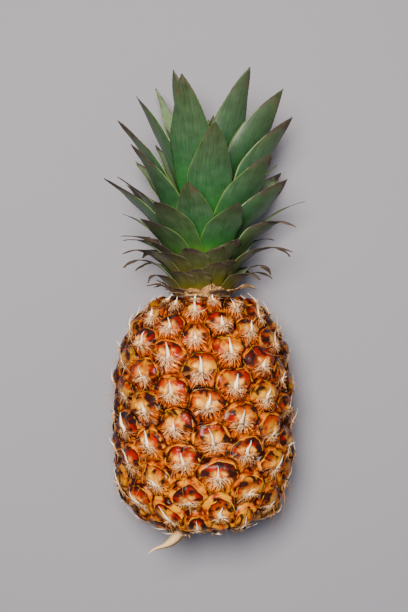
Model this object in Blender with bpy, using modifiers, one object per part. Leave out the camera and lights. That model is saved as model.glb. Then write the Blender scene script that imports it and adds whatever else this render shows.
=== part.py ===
"""A whole ripe pineapple with its crown, lying on its side.

Run it with: blender --background --python part.py

Units are metres and +Z is up.  The fruit's axis is level and runs along +Y, from the
cut base at -Y to the crown at +Y.  The origin is on the surface that the pineapple
lies on, under the middle of its outer box.

Along the axis, a place is given as its height: the distance from the fruit's base
towards the crown.  Round the axis, it is given as a turn: 0 is the top side and
positive turns go towards +X.
"""

import math

import bmesh
import bpy
from mathutils import Vector

# Driving dimensions of the fruit, without and with its raised eyes.
FRUIT_RADIUS = 0.0545
FRUIT_LENGTH = 0.146
WIDEST_HEIGHT = 0.064
BARREL_EXPONENT = 3.0
EYE_RISE = 0.0026
FLATTENED_BY_WEIGHT = 0.0016
AXIS_ABOVE_FLOOR = FRUIT_RADIUS + EYE_RISE - FLATTENED_BY_WEIGHT

# The eyes follow one spiral.  A turn of 106.1 degrees from eye to eye lines them up
# in 7, 10 and 17 rows, so those three steps lead from an eye to its neighbours.
EYE_TURN = math.radians(106.1)
EYE_STEP = 0.00122
FIRST_EYE_HEIGHT = 0.102
FIRST_EYE_TURN = math.radians(-1.2)
EYES_ABOVE_FIRST = 52
EYES_BELOW_FIRST = 91
EYE_SHRINK = 0.5
BASE_SWELL = 0.6
PLATEAU_SHARE = 0.62
SEAT_RADIUS = 0.0188
BASE_DEPTH = 0.0030

# The crown: leaves on a golden-angle spiral up a tapered stem.
GAP = 0.0003
LEAF_COUNT = 55
FRONT_LEAF = 24
GOLDEN_TURN = 137.5
STEM_FOOT_RADIUS = 0.0180
STEM_TIP_RADIUS = 0.0030
STEM_LENGTH = 0.058
LOWEST_LEAF_HEIGHT = 0.0015
LEAF_SPACING = 0.0010
LEAF_THICKNESS = 0.0006
LEAF_ROWS = 7
LEAF_COLUMNS = 4
WIDEST_SHARE = 0.57
LEAN_POWER = 1.4

# How a leaf's length, width and lean from the axis (at its foot and at its tip, in
# degrees) change with its number, counted from the lowest leaf up.
LENGTH_BY_LEAF = ((0, 0.026), (8, 0.042), (16, 0.050), (24, 0.062), (32, 0.084),
                  (40, 0.102), (46, 0.108), (50, 0.104), (54, 0.070))
WIDTH_BY_LEAF = ((0, 0.015), (8, 0.020), (16, 0.024), (24, 0.026), (32, 0.029),
                 (42, 0.029), (50, 0.024), (54, 0.014))
FOOT_LEAN_BY_LEAF = ((0, 30), (10, 33), (20, 36), (24, 35), (36, 24), (48, 12), (54, 7))
TIP_LEAN_BY_LEAF = ((0, 125), (8, 112), (16, 74), (24, 54), (36, 40), (48, 30), (54, 15))

# Where single leaves depart from the rule: (extra turn in degrees, share of length),
# by the leaf's place above (+) or below (-) the front leaf.
LEAF_DEPARTURES = {
    -18: (-12, 1.00), -16: (0, 1.25), -13: (8, 1.00), -10: (0, 1.30), -8: (-7, 1.28),
    -7: (-15, 1.36), -5: (-9, 0.97), -3: (-16, 1.27), -2: (-28, 1.16), -1: (14, 1.15),
    0: (-10, 0.93), 1: (-12, 1.18), 2: (0, 0.96), 3: (-10, 1.07), 5: (-15, 1.03),
    6: (0, 0.84), 7: (0, 0.85), 8: (-12, 1.00), 10: (0, 0.99), 11: (6, 0.99),
    12: (0, 0.86), 13: (0, 1.12), 14: (6, 0.80), 15: (-20, 0.64), 16: (28, 0.97),
    17: (0, 0.80), 18: (-25, 0.86), 19: (10, 0.62), 20: (-6, 0.95), 21: (32, 0.94),
    22: (0, 0.76), 23: (-20, 0.58), 24: (0, 0.52), 25: (0, 0.78), 26: (-16, 0.88),
    27: (0, 0.78), 28: (0, 0.80), 29: (0, 0.76), 30: (0, 0.86),
}

# Leaves that are twisted about their own length, in degrees, and leaves that are
# narrower than the rule, as a share of its width, by place.
LEAF_TWISTS = {21: 8, 16: 38, 11: 34, 3: 15, 1: -30, -2: 22, 5: 18}
LEAF_WIDTHS = {20: 0.60, 18: 0.78, 15: 0.70, 10: 0.72, 5: 0.84, 0: 0.92, -7: 0.70, -3: 0.80}

# Old leaves at the front have lost their tips.
TORN_BELOW_LEAF = 15
TORN_WITHIN = math.radians(48)
TORN_SHARE = 0.60

# On the underside the table presses the leaves flat: beyond the free depth below the
# axis they bend, and none gets deeper than the table.
FREE_DEPTH = 0.030
TABLE_DEPTH = AXIS_ABOVE_FLOOR - 0.0008

# The cut stalk in the base, and one dry bract left beside it.
STALK_RADIUS = 0.0105
STALK_LENGTH = 0.0045
STALK_BEVEL = 0.0008
BRACT_LENGTH = 0.026
BRACT_WIDTH = 0.0046
BRACT_THICKNESS = 0.0006
BRACT_FOOT = Vector((-0.0120, -0.0016, 0.0135))
BRACT_AIM = Vector((-0.84, -0.53, -0.10)).normalized()
BRACT_SAG = 0.0022


def between(points, place):
    """The value at a place on a line that joins (place, value) points."""
    for (low, start), (high, end) in zip(points, points[1:]):
        if place <= high:
            share = (place - low) / (high - low)
            return start + (end - start) * share
    return points[-1][1]


def make_collection(name):
    collection = bpy.data.collections.new(name)
    bpy.context.scene.collection.children.link(collection)
    return collection


def make_material(name, colour, roughness):
    material = bpy.data.materials.new(name)
    material.use_nodes = True
    shader = material.node_tree.nodes["Principled BSDF"]
    shader.inputs["Base Color"].default_value = (*colour, 1.0)
    shader.inputs["Roughness"].default_value = roughness
    shader.inputs["Metallic"].default_value = 0.0
    return material


def add_object(name, mesh, material, collection, location=(0, 0, 0)):
    mesh.materials.append(material)
    obj = bpy.data.objects.new(name, mesh)
    obj.location = location
    collection.objects.link(obj)
    return obj


# ---------------------------------------------------------------- the fruit

def barrel_radius(height):
    """The radius of the barrel under the eyes: a superellipse, widest below its middle."""
    end = 0.0 if height < WIDEST_HEIGHT else FRUIT_LENGTH
    share = min(abs((height - WIDEST_HEIGHT) / (end - WIDEST_HEIGHT)), 1.0)
    return FRUIT_RADIUS * (1 - share ** BARREL_EXPONENT) ** (1 / BARREL_EXPONENT)


def walk_barrel(direction, steps):
    """Heights of successive eye steps from the first eye, measured along the skin.

    The step gets shorter where the barrel narrows, because the eyes shrink there, and
    longer towards the base, where the oldest and largest eyes are.
    """
    substeps = 40
    heights = [FIRST_EYE_HEIGHT]
    height = FIRST_EYE_HEIGHT
    for _ in range(steps):
        for _ in range(substeps):
            radius = barrel_radius(height)
            ahead = barrel_radius(height + direction * 1e-5)
            slope = math.hypot(1.0, (ahead - radius) / 1e-5)
            stride = EYE_STEP * (radius / FRUIT_RADIUS) ** EYE_SHRINK / substeps
            stride *= 1 + BASE_SWELL * max(1 - height / WIDEST_HEIGHT, 0.0) ** 2
            height += direction * stride / slope
            height = min(max(height, 0.0), FRUIT_LENGTH - 1e-5)
        heights.append(height)
    return heights


class Barrel:
    """Turns a place in the eye spiral, and a rise off the skin, into a point."""

    def __init__(self):
        margin = 20
        self.above = walk_barrel(1, EYES_ABOVE_FIRST + margin)
        self.below = walk_barrel(-1, EYES_BELOW_FIRST + margin)

    def height(self, place):
        """The height at a place, a number of eyes below the first one (above is minus)."""
        heights = self.below if place >= 0 else self.above
        whole = min(int(abs(place)), len(heights) - 2)
        share = abs(place) - whole
        return heights[whole] + (heights[whole + 1] - heights[whole]) * share

    def point(self, turn, place, rise):
        height = self.height(place)
        radius = barrel_radius(height)
        slope = (barrel_radius(height + 1e-4) - barrel_radius(height - 1e-4)) / 2e-4
        outward = Vector((1.0, -slope)).normalized() * rise
        reach = radius + outward.x
        return Vector((reach * math.sin(turn), height + outward.y, reach * math.cos(turn)))


def turn_of(step):
    """The turn between an eye and the one this many steps on, nearest to zero."""
    full = 2 * math.pi
    return (EYE_TURN * step + math.pi) % full - math.pi


def make_fruit(material, collection):
    """The fruit's skin: a six-sided raised shield for each eye, with creases between."""
    barrel = Barrel()
    bm = bmesh.new()
    corners = {}

    # A corner is where three eyes meet: an eye, the one 17 on, and the one 7 or 10 on.
    def corner(kind, eye):
        if (kind, eye) not in corners:
            side = 7 if kind == "right" else 10
            turn = FIRST_EYE_TURN + EYE_TURN * eye + (turn_of(17) + turn_of(side)) / 3
            point = barrel.point(turn, eye + (17 + side) / 3, 0.0)
            corners[kind, eye] = bm.verts.new(point)
        return corners[kind, eye]

    for eye in range(-EYES_ABOVE_FIRST, EYES_BELOW_FIRST + 1):
        around = (corner("right", eye), corner("left", eye - 10), corner("right", eye - 17),
                  corner("left", eye - 17), corner("right", eye - 7), corner("left", eye))
        centre_turn = FIRST_EYE_TURN + EYE_TURN * eye
        low = barrel.point(centre_turn, eye, 0.0)
        narrowness = barrel_radius(barrel.height(eye)) / FRUIT_RADIUS
        lift = barrel.point(centre_turn, eye, EYE_RISE * narrowness ** EYE_SHRINK) - low
        plateau = [bm.verts.new(low + (v.co - low) * PLATEAU_SHARE + lift) for v in around]
        bm.faces.new(plateau)
        for i in range(6):
            following = (i + 1) % 6
            bm.faces.new((around[i], around[following], plateau[following], plateau[i]))

    close_end(bm, top=True)
    close_end(bm, top=False)
    bmesh.ops.triangulate(bm, faces=bm.faces[:])
    bmesh.ops.recalc_face_normals(bm, faces=bm.faces[:])
    mesh = bpy.data.meshes.new("fruit")
    bm.to_mesh(mesh)
    bm.free()
    return add_object("fruit", mesh, material, collection, (0, 0, AXIS_ABOVE_FLOOR))


def close_end(bm, top):
    """Closes one end of the fruit with a flat seat for the crown's stem or the stalk."""
    middle = FRUIT_LENGTH / 2
    seat_height = FRUIT_LENGTH - GAP if top else BASE_DEPTH
    rim = [e for e in bm.edges if e.is_boundary and (e.verts[0].co.y > middle) == top]
    inner, ring = draw_in(bm, rim)
    for vertex in inner:
        outward = Vector((vertex.co.x, 0, vertex.co.z)).normalized()
        vertex.co = outward * SEAT_RADIUS + Vector((0, seat_height, 0))
    centre, _ = draw_in(bm, ring)
    bmesh.ops.pointmerge(bm, verts=centre, merge_co=Vector((0, seat_height, 0)))


def draw_in(bm, rim):
    """Extrudes an open edge and gives the new vertices and edges."""
    made = bmesh.ops.extrude_edge_only(bm, edges=rim)["geom"]
    vertices = [v for v in made if isinstance(v, bmesh.types.BMVert)]
    edges = [e for e in made if isinstance(e, bmesh.types.BMEdge)
             and e.verts[0] in vertices and e.verts[1] in vertices]
    return vertices, edges


def flatten_underside(fruit, cutters):
    """The few eyes that carry the fruit's weight are pressed flat on the table."""
    size = 2 * FRUIT_LENGTH
    bpy.ops.mesh.primitive_cube_add(size=size, location=(0, FRUIT_LENGTH / 2, -size / 2))
    table = bpy.context.active_object
    table.name = "table_cutter"
    table.hide_render = True
    table.display_type = "WIRE"
    for collection in table.users_collection:
        collection.objects.unlink(table)
    cutters.objects.link(table)
    cut = fruit.modifiers.new("resting_flats", "BOOLEAN")
    cut.operation = "DIFFERENCE"
    cut.object = table
    return table


# ---------------------------------------------------------------- the crown

def stem_radius(height):
    share = min(max(height / STEM_LENGTH, 0.0), 1.0)
    return STEM_FOOT_RADIUS + (STEM_TIP_RADIUS - STEM_FOOT_RADIUS) * share


class Leaf:
    """One crown leaf.  Its two sides wrap round the crown's axis, so that leaves on
    their own cones, each inside the one below, never meet."""

    def __init__(self, number):
        place = number - FRONT_LEAF
        extra_turn, share_of_length = LEAF_DEPARTURES.get(place, (0, 1.0))
        turn = GOLDEN_TURN * place + extra_turn
        self.turn = math.radians((turn + 180) % 360 - 180)
        self.twist = math.radians(LEAF_TWISTS.get(place, 0))
        if number < TORN_BELOW_LEAF and abs(self.turn) < TORN_WITHIN:
            share_of_length *= TORN_SHARE
        self.share_of_curve = min(share_of_length, 1.0)
        self.length = between(LENGTH_BY_LEAF, number) * share_of_length
        self.width = between(WIDTH_BY_LEAF, number) * LEAF_WIDTHS.get(place, 1.0)
        self.foot_lean = between(FOOT_LEAN_BY_LEAF, number)
        self.tip_lean = between(TIP_LEAN_BY_LEAF, number)
        self.foot_height = LOWEST_LEAF_HEIGHT + LEAF_SPACING * number
        clearance = GAP + LEAF_THICKNESS
        self.foot_radius = stem_radius(self.foot_height) + clearance

    def half_width(self, share):
        """Half the width at a share of the length: a clasping foot, then a long point."""
        foot = min(self.width * 0.42, self.foot_radius * math.radians(50))
        if share < WIDEST_SHARE:
            swell = math.sin(share / WIDEST_SHARE * math.pi / 2) ** 1.2
            return foot + (self.width / 2 - foot) * swell
        beyond = (share - WIDEST_SHARE) / (1 - WIDEST_SHARE)
        taper = (1 - beyond ** 1.8) * (1 - 0.12 * math.sin(math.pi * beyond))
        return max(self.width / 2 * taper, LEAF_THICKNESS / 2)

    def midrib(self, rows):
        """(distance from the axis, height above the fruit) at each row."""
        radius, height = self.foot_radius, self.foot_height
        found = [(radius, height)]
        fine = 8
        for row in range(rows * fine):
            share = (row + 0.5) / (rows * fine) * self.share_of_curve
            lean = math.radians(
                self.foot_lean + (self.tip_lean - self.foot_lean) * share ** LEAN_POWER)
            radius += math.sin(lean) * self.length / (rows * fine)
            height += math.cos(lean) * self.length / (rows * fine)
            if row % fine == fine - 1:
                found.append((radius, height))
        return found

    def point(self, radius, height, share, across):
        grown = min(max((share - 0.3) / 0.45, 0.0), 1.0)
        twist = self.twist * grown * grown * (3 - 2 * grown)
        offset = across * self.half_width(share)
        turn = self.turn + offset * math.cos(twist) / radius
        radius += offset * math.sin(twist)
        depth = -radius * math.cos(turn)
        room = TABLE_DEPTH - FREE_DEPTH
        if depth > FREE_DEPTH:
            depth = FREE_DEPTH + room * math.tanh((depth - FREE_DEPTH) / room)
        return Vector((radius * math.sin(turn), FRUIT_LENGTH + height,
                       AXIS_ABOVE_FLOOR - depth))


def make_leaf(number, material, collection):
    leaf = Leaf(number)
    midrib = leaf.midrib(LEAF_ROWS)
    bm = bmesh.new()
    bmesh.ops.create_grid(bm, x_segments=LEAF_COLUMNS, y_segments=LEAF_ROWS, size=0.5)
    foot = leaf.point(*midrib[0], 0.0, 0.0)
    for vertex in bm.verts:
        row = round((vertex.co.y + 0.5) * LEAF_ROWS)
        across = vertex.co.x * 2
        vertex.co = leaf.point(*midrib[row], row / LEAF_ROWS, across) - foot
    mesh = bpy.data.meshes.new(f"crown_leaf_{number + 1:02d}")
    bm.to_mesh(mesh)
    bm.free()
    obj = add_object(mesh.name, mesh, material, collection, foot)
    wall = obj.modifiers.new("thickness", "SOLIDIFY")
    wall.thickness = LEAF_THICKNESS
    wall.offset = 0.0
    return obj


def make_crown_stem(material, collection):
    bpy.ops.mesh.primitive_cone_add(
        vertices=32, radius1=STEM_FOOT_RADIUS, radius2=STEM_TIP_RADIUS, depth=STEM_LENGTH,
        location=(0, FRUIT_LENGTH + STEM_LENGTH / 2, AXIS_ABOVE_FLOOR),
        rotation=(-math.pi / 2, 0, 0))
    stem = bpy.context.active_object
    stem.name = stem.data.name = "crown_stem"
    stem.data.materials.append(material)
    move_to(stem, collection)
    return stem


# ---------------------------------------------------------------- the base

def move_to(obj, collection):
    for old in obj.users_collection:
        old.objects.unlink(obj)
    collection.objects.link(obj)


def make_cut_stalk(material, collection):
    """The short stub left where the fruit was cut from its stalk."""
    middle = BASE_DEPTH - GAP - STALK_LENGTH / 2
    bpy.ops.mesh.primitive_cylinder_add(
        vertices=28, radius=STALK_RADIUS, depth=STALK_LENGTH,
        location=(0, middle, AXIS_ABOVE_FLOOR), rotation=(math.pi / 2, 0, 0))
    stalk = bpy.context.active_object
    stalk.name = stalk.data.name = "cut_stalk"
    stalk.data.materials.append(material)
    move_to(stalk, collection)
    edge = stalk.modifiers.new("worn_edge", "BEVEL")
    edge.width = STALK_BEVEL
    edge.segments = 2
    return stalk


def make_base_bract(material, collection):
    """One dry, straw-like bract that sticks out beside the stalk."""
    rows = 8
    bm = bmesh.new()
    bmesh.ops.create_grid(bm, x_segments=2, y_segments=rows, size=0.5)
    side = BRACT_AIM.cross(Vector((0, 0, 1))).normalized()
    for vertex in bm.verts:
        share = vertex.co.y + 0.5
        across = vertex.co.x * 2
        half = BRACT_WIDTH / 2 * (1 - share ** 1.6) + BRACT_THICKNESS / 3
        sag = Vector((0, 0, -BRACT_SAG * share ** 2))
        fold = Vector((0, 0, 0.25 * half * abs(across)))
        vertex.co = BRACT_AIM * BRACT_LENGTH * share + side * across * half + sag + fold
    mesh = bpy.data.meshes.new("dry_base_bract")
    bm.to_mesh(mesh)
    bm.free()
    location = BRACT_FOOT + Vector((0, 0, AXIS_ABOVE_FLOOR))
    bract = add_object("dry_base_bract", mesh, material, collection, location)
    wall = bract.modifiers.new("thickness", "SOLIDIFY")
    wall.thickness = BRACT_THICKNESS
    wall.offset = 0.0
    return bract


# ---------------------------------------------------------------- the whole

def outer_box(objects):
    """Lowest and highest corner of these objects, modifiers included."""
    graph = bpy.context.evaluated_depsgraph_get()
    points = []
    for obj in objects:
        evaluated = obj.evaluated_get(graph)
        mesh = evaluated.to_mesh()
        points += [evaluated.matrix_world @ v.co for v in mesh.vertices]
        evaluated.to_mesh_clear()
    low = Vector(min(p[i] for p in points) for i in range(3))
    high = Vector(max(p[i] for p in points) for i in range(3))
    return low, high


def main():
    for obj in list(bpy.data.objects):
        bpy.data.objects.remove(obj)

    pineapple = make_collection("pineapple")
    cutters = make_collection("cutters")
    skin = make_material("pineapple_skin", (0.72, 0.24, 0.03), 0.45)
    green = make_material("green_leaf", (0.07, 0.19, 0.09), 0.5)
    straw = make_material("dry_leaf", (0.36, 0.24, 0.13), 0.8)
    core = make_material("stem_fibre", (0.50, 0.42, 0.22), 0.75)

    fruit = make_fruit(skin, pineapple)
    table = flatten_underside(fruit, cutters)
    parts = [fruit, make_crown_stem(core, pineapple)]
    parts += [make_leaf(n, straw if n < 7 else green, pineapple) for n in range(LEAF_COUNT)]
    parts += [make_cut_stalk(core, pineapple), make_base_bract(straw, pineapple)]

    # One empty carries every part, and centres the pineapple over the origin.
    bpy.context.view_layer.update()
    low, high = outer_box(parts)
    carrier = bpy.data.objects.new("pineapple", None)
    pineapple.objects.link(carrier)
    for obj in [*parts, table]:
        obj.parent = carrier
    carrier.location = (-(low.x + high.x) / 2, -(low.y + high.y) / 2, -low.z)
    bpy.context.view_layer.update()


main()
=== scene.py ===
"""The look of a whole ripe pineapple with its crown, lying on its side.

The frame's boxes give the fruit's level axis and the height of the crown's foot.  Along
the axis a place is given as a height above the fruit's base, and round it as a turn: 0
is the top side, and positive turns go towards +X.
"""

import math

import bmesh
import bpy
import numpy as np
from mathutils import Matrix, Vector


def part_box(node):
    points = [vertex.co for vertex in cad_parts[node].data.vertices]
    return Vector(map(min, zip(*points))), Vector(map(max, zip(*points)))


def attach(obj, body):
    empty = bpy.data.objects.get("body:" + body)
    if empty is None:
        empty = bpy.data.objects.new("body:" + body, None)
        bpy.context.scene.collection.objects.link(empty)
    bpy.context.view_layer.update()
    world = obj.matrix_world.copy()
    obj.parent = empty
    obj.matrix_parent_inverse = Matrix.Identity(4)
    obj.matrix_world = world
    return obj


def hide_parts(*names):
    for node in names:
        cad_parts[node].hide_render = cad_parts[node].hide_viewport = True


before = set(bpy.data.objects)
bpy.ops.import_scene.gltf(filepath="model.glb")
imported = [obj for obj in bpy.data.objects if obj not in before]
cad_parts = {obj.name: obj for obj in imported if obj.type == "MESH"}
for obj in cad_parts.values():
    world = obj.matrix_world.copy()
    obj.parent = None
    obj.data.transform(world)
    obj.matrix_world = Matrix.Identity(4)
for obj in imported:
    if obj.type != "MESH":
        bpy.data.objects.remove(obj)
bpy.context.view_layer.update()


# ---------------------------------------------------------------- The rind
# A pineapple is about 140 flowers grown together.  Each left one eye: a waxy dome under
# an arched edge, with a dry, hairy lower half.  The eyes follow one spiral, and a turn
# of 106.1 degrees a step lines them up in 7, 10 and 17 rows.

MM = 0.001
stem_low, stem_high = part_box("crown_stem")
AXIS_X = (stem_low.x + stem_high.x) / 2
AXIS_Z = (stem_low.z + stem_high.z) / 2
CROWN_Y = stem_low.y
FRUIT_LENGTH = 146 * MM
BASE_Y = CROWN_Y - FRUIT_LENGTH

BARREL_RADIUS = 54.5 * MM
WIDEST_HEIGHT = 64 * MM
EYE_TURN = math.radians(106.1)
EYE_STEP = 1.22 * MM
FIRST_EYE_HEIGHT = 102 * MM
FIRST_EYE_TURN = math.radians(-1.2)
EYES_ABOVE_FIRST = 52
EYES_BELOW_FIRST = 91
BASE_SWELL = 0.6

# An eye's cell: half its width as a turn and half its length in steps of the spiral, the
# points and the bulge of each of its six sides, and the crease round it, in millimetres
# above the barrel.  RINGS are the rings of its mesh, as shares of the way out.
DOME_TURN = 0.212
DOME_STEPS = 8.5
EDGE_POINTS = 7
EDGE_BULGE = 0.075
CREASE = -1.3
RINGS = (0.10, 0.20, 0.30, 0.41, 0.52, 0.62, 0.71, 0.79, 0.85, 0.90, 0.94, 0.975, 1.0)
chance = np.random.default_rng(11)


def barrel_radius(height):
    """The radius of the barrel under the eyes: a superellipse, widest below its middle."""
    end = np.where(height < WIDEST_HEIGHT, 0.0, FRUIT_LENGTH)
    share = np.minimum(np.abs((height - WIDEST_HEIGHT) / (end - WIDEST_HEIGHT)), 1.0)
    return BARREL_RADIUS * (1 - share ** 3) ** (1 / 3)


def barrel_slope(height):
    """How fast the barrel widens with height."""
    return (barrel_radius(height + 0.1 * MM) - barrel_radius(height - 0.1 * MM)) / (0.2 * MM)


def spiral_heights():
    """Heights along the spiral, one row a fortieth of a step, with the first eye at 0.
    The step is shorter where the barrel narrows, because the eyes shrink there, and
    longer towards the base, where the oldest and largest eyes are."""
    fine, margin = 40, 20
    found = []
    for direction, steps in ((1, EYES_ABOVE_FIRST + margin), (-1, EYES_BELOW_FIRST + margin)):
        height = FIRST_EYE_HEIGHT
        for i in range(steps * fine + 1):
            found.append((-direction * i / fine, height))
            stride = EYE_STEP * (float(barrel_radius(height)) / BARREL_RADIUS) ** 0.5 / fine
            stride *= 1 + BASE_SWELL * max(1 - height / WIDEST_HEIGHT, 0.0) ** 2
            height += direction * stride / math.hypot(1, float(barrel_slope(height)))
            height = min(max(height, 0.02 * MM), FRUIT_LENGTH - 0.02 * MM)
    found.sort()
    return np.array(found).T


spiral_place, spiral_height = spiral_heights()


def ripple(points, size, seed=0.0):
    """A smooth unevenness between -1 and 1, with bumps of about this size."""
    x, y, z = (points[..., i] * (2 * math.pi / size) for i in range(3))
    return (np.sin(x + 1.7 * np.sin(y * 0.9 + seed) + seed)
            + np.sin(y * 1.1 + 1.5 * np.sin(z * 0.8 + 2 * seed))
            + np.sin(z * 0.9 + 1.6 * np.sin(x * 1.2 + 3 * seed))) / 3


def on_barrel(turn, place, rise):
    """Points at a turn and a place along the spiral, a rise above the barrel.  The eyes
    grew unevenly, so every point is shifted a little, smoothly, all over the fruit."""
    height = np.interp(place, spiral_place, spiral_height)
    slope = barrel_slope(height)
    length = np.sqrt(1 + slope ** 2)
    reach = barrel_radius(height) + rise / length
    points = np.stack([AXIS_X + reach * np.sin(turn),
                       BASE_Y + height - rise * slope / length,
                       AXIS_Z + reach * np.cos(turn)], axis=-1)
    shift = [1.5 * ripple(points, 36 * MM, seed) + 0.6 * ripple(points, 14 * MM, seed)
             for seed in (0.4, 1.9, 3.1)]
    points = points + np.stack(shift, axis=-1) * MM
    points[..., 2] = np.maximum(points[..., 2], 0.0)
    return points


def turn_of(step):
    """The turn between an eye and the one this many steps on, nearest to zero."""
    return (EYE_TURN * step + math.pi) % (2 * math.pi) - math.pi


def eye_edge():
    """The outline of an eye, as offsets in turn and place from its middle.  It is six
    sided, and each side bulges towards the crown, as scales do."""
    neighbours = (17, 7, -10, -17, -7, 10)
    around = [np.array([turn_of(n), n]) for n in neighbours]
    corners = [(around[i] + around[i - 5]) / 3 for i in range(6)]
    points = []
    for i in range(6):
        start, end, over = corners[i - 1], corners[i], around[i]
        upward = over if neighbours[i] < 0 else -over
        for j in range(EDGE_POINTS):
            share = j / EDGE_POINTS
            bulge = upward * EDGE_BULGE * math.sin(math.pi * share)
            points.append(start + (end - start) * share + bulge)
    return np.array(points)


def smooth(low, high, value):
    """0 below low, 1 above high, and a soft step between."""
    share = np.clip((value - low) / (high - low), 0, 1)
    return share * share * (3 - 2 * share)


def eye_size(eye):
    """How large an eye is, next to one at the widest place."""
    height = np.interp(eye, spiral_place, spiral_height)
    return (barrel_radius(height) / BARREL_RADIUS) ** 0.5


def eye_fill(eye):
    """The share of its cell that the dome fills: less near the base, where the smooth
    skin between the domes is wide."""
    height = np.interp(eye, spiral_place, spiral_height)
    return 0.78 + 0.18 * smooth(8 * MM, 70 * MM, height)


def eye_rise(x, y, fill):
    """The height of an eye's skin in millimetres; x and y are 1 at the cell's arch.  The
    upper part is a dome with a dimple, two lobes and a seam; a groove and then a ridge
    run round it.  The lower part slopes down in folds."""
    r = np.hypot(x, y) / fill
    upper = smooth(-0.30, 0.15, y)
    dome = 2.9 - 1.3 * np.minimum(r, 1.0) ** 3 - 1.0 * np.exp(-(r / 0.15) ** 2)
    dome = dome - 0.9 * smooth(0.95, 1.02, r) + 0.7 * smooth(1.02, 1.08, r)
    dome = dome - 4.0 * np.maximum(r - 1.10, 0.0)
    lobes = 0.55 * np.exp(-((np.abs(x) - 0.42 * fill) ** 2 + (y - 0.16) ** 2) / 0.06)
    seam = -0.45 * np.exp(-(x / 0.06) ** 2) * smooth(0.0, 0.2, y) * (1 - smooth(0.6, 0.9, y))
    folds = 0.30 * np.sin(np.arctan2(x, 0.12 - y) * 15 + 4 * x) * smooth(0.15, 0.5, r)
    lower = 2.1 - 2.9 * np.clip(-y, 0, 1) ** 1.3 + folds
    return upper * (dome + lobes + seam) + (1 - upper) * lower


EYES = np.arange(-EYES_ABOVE_FIRST, EYES_BELOW_FIRST + 1)
eye_chance = chance.random(len(EYES))
eye_vigour = 1 + 0.12 * chance.standard_normal(len(EYES)).clip(-1.5, 1.5)


def make_object(name, points, faces, material):
    """A smooth mesh from points and faces."""
    mesh = bpy.data.meshes.new(name)
    mesh.from_pydata(np.asarray(points).reshape(-1, 3).tolist(), [], faces)
    mesh.materials.append(material)
    mesh.shade_smooth()
    made = bpy.data.objects.new(name, mesh)
    bpy.context.scene.collection.objects.link(made)
    return made


def note(made, name, kind, values):
    """Stores a value for each point, which the material reads by this name."""
    layer = made.data.attributes.new(name, kind, "POINT")
    layer.data.foreach_set("vector" if kind == "FLOAT_VECTOR" else "value",
                           np.asarray(values, dtype=np.float32).ravel())


def make_rind(material):
    """The whole skin as one mesh: each eye is a fan with rings round it, out to the edge
    that it shares with its neighbours."""
    edge = eye_edge()
    sides = len(edge)
    rings = np.array(RINGS)
    offsets = np.concatenate([[[0.0, 0.0]], (rings[:, None, None] * edge).reshape(-1, 2)])
    share = np.concatenate([[0.0], np.repeat(rings, sides)])
    each = len(offsets)

    fan = [(0, 1 + i, 1 + (i + 1) % sides) for i in range(sides)]
    quads = []
    for ring in range(len(rings) - 1):
        inner, outer = 1 + ring * sides, 1 + (ring + 1) * sides
        for i in range(sides):
            j = (i + 1) % sides
            quads.append((inner + i, outer + i, outer + j, inner + j))

    points, faces, places, luck = [], [], [], []
    for i, eye in enumerate(EYES):
        x = offsets[:, 0] / DOME_TURN
        y = -offsets[:, 1] / DOME_STEPS
        fill = eye_fill(eye)
        turn = FIRST_EYE_TURN + EYE_TURN * eye + offsets[:, 0]
        raised = eye_rise(x, y, fill) * eye_size(eye) * eye_vigour[i]
        level = on_barrel(turn, eye + offsets[:, 1], 0.0)
        raised = raised + 0.34 * ripple(level, 5 * MM) + 0.13 * ripple(level, 1.9 * MM, 1.3)
        raised = CREASE + (raised - CREASE) * (1 - smooth(0.88, 1.0, share))
        points.append(on_barrel(turn, eye + offsets[:, 1], raised * MM))
        faces += [tuple(v + i * each for v in face) for face in fan + quads]
        places.append(np.stack([x / fill, y / fill, share], axis=-1))
        luck.append(np.full(each, eye_chance[i]))

    # Corner attributes, because an eye and its neighbour share the points of an edge.
    rind = make_object("rind", np.concatenate(points), faces, material)
    corners = np.zeros(len(rind.data.loops), dtype=np.int32)
    rind.data.loops.foreach_get("vertex_index", corners)
    place = rind.data.attributes.new("eye_place", "FLOAT_VECTOR", "CORNER")
    place.data.foreach_set("vector", np.concatenate(places)[corners].astype(np.float32).ravel())
    lot = rind.data.attributes.new("eye_chance", "FLOAT", "CORNER")
    lot.data.foreach_set("value", np.concatenate(luck)[corners].astype(np.float32))

    bm = bmesh.new()
    bm.from_mesh(rind.data)
    bmesh.ops.remove_doubles(bm, verts=bm.verts[:], dist=0.004 * MM)
    close_ends(bm)
    bmesh.ops.recalc_face_normals(bm, faces=bm.faces[:])
    bm.to_mesh(rind.data)
    bm.free()
    rind.data.shade_smooth()
    return rind


def close_ends(bm):
    """A sunk seat at the base, where the stalk was, and a flat one under the crown."""
    middle = BASE_Y + FRUIT_LENGTH / 2
    for top in (True, False):
        seat = CROWN_Y - 0.3 * MM if top else BASE_Y + 2.5 * MM
        rim = [e for e in bm.edges if e.is_boundary and (e.verts[0].co.y > middle) == top]
        for radius in (19 * MM, 14 * MM, 0.5 * MM):
            made = bmesh.ops.extrude_edge_only(bm, edges=rim)["geom"]
            ring = [v for v in made if isinstance(v, bmesh.types.BMVert)]
            rim = [e for e in made if isinstance(e, bmesh.types.BMEdge)
                   and e.verts[0] in ring and e.verts[1] in ring]
            for vertex in ring:
                out = Vector((vertex.co.x - AXIS_X, 0, vertex.co.z - AXIS_Z)).normalized()
                vertex.co = Vector((AXIS_X, seat, AXIS_Z)) + out * radius
        bmesh.ops.contextual_create(bm, geom=rim)


def linear(colour):
    """A hex sRGB colour as the linear values that a shader takes."""
    parts = [int(colour[i:i + 2], 16) / 255 for i in (1, 3, 5)]
    return [c / 12.92 if c <= 0.04045 else ((c + 0.055) / 1.055) ** 2.4 for c in parts] + [1.0]


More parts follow.
